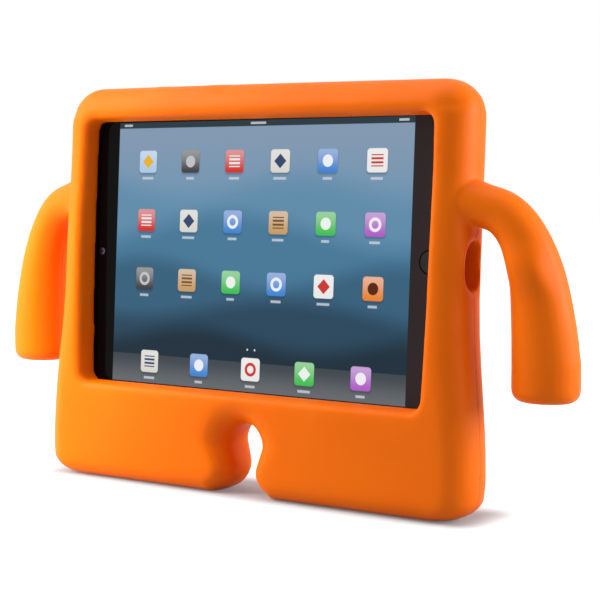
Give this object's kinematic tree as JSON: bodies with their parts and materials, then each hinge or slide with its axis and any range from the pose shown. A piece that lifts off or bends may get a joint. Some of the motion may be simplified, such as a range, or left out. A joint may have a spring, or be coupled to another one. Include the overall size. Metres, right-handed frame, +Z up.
{
  "type": "kids tablet case with handle",
  "caption": "Free-standing moulded foam case for a small tablet: thick rounded body on two feet, an arm-shaped handle at each side, and a tablet seated behind the framed window.",
  "frame": {"origin": "centre of the footprint box on the surface that the feet stand on", "axes": "+X to the viewer's right along the screen's long side, +Y to the back, +Z up; the screen faces -Y and leans back by 3.44 degrees"},
  "size_m": [0.3044, 0.0376, 0.181],
  "materials": {
    "foam": "matt closed-cell foam skin",
    "aluminium": "fine blasted",
    "cover_glass": "polished, dark behind",
    "display": "lit panel",
    "black_plastic": "satin",
    "steel": "stamped sheet",
    "cell_wrap": "foil pouch",
    "circuit_board": "solder mask"
  },
  "bodies": {
    "case_with_tablet": {"foam_case": "foam", "tablet_shell": "aluminium", "cover_glass": "cover_glass", "display_panel": "display", "home_button_bracket": "steel", "front_camera": "black_plastic", "rear_camera": "black_plastic", "power_button_bracket": "steel", "volume_bracket": "steel", "charging_socket": "steel", "headphone_socket": "black_plastic", "speaker_upper": "black_plastic", "speaker_lower": "black_plastic", "battery_cell_left": "cell_wrap", "battery_cell_right": "cell_wrap", "logic_board": "circuit_board", "board_shield": "steel"},
    "home_button_body": {"home_button": "black_plastic"},
    "power_button_body": {"power_button": "aluminium"},
    "volume_up_body": {"volume_up_button": "aluminium"},
    "volume_down_body": {"volume_down_button": "aluminium"}
  },
  "joints": [
    {"name": "home_button_press", "type": "slide", "parent": "case_with_tablet", "child": "home_button_body", "axis": [0, 0.9982, -0.06], "range_m": [0, 0.0003], "stiffness_N_per_m": 600, "springref_m": -0.0004},
    {"name": "power_button_press", "type": "slide", "parent": "case_with_tablet", "child": "power_button_body", "axis": [1, 0, 0], "range_m": [0, 0.00035], "stiffness_N_per_m": 600, "springref_m": -0.0004},
    {"name": "volume_up_press", "type": "slide", "parent": "case_with_tablet", "child": "volume_up_body", "axis": [0, -0.06, -0.9982], "range_m": [0, 0.00035], "stiffness_N_per_m": 600, "springref_m": -0.0004},
    {"name": "volume_down_press", "type": "slide", "parent": "case_with_tablet", "child": "volume_down_body", "axis": [0, -0.06, -0.9982], "range_m": [0, 0.00035], "stiffness_N_per_m": 600, "springref_m": -0.0004}
  ]
}
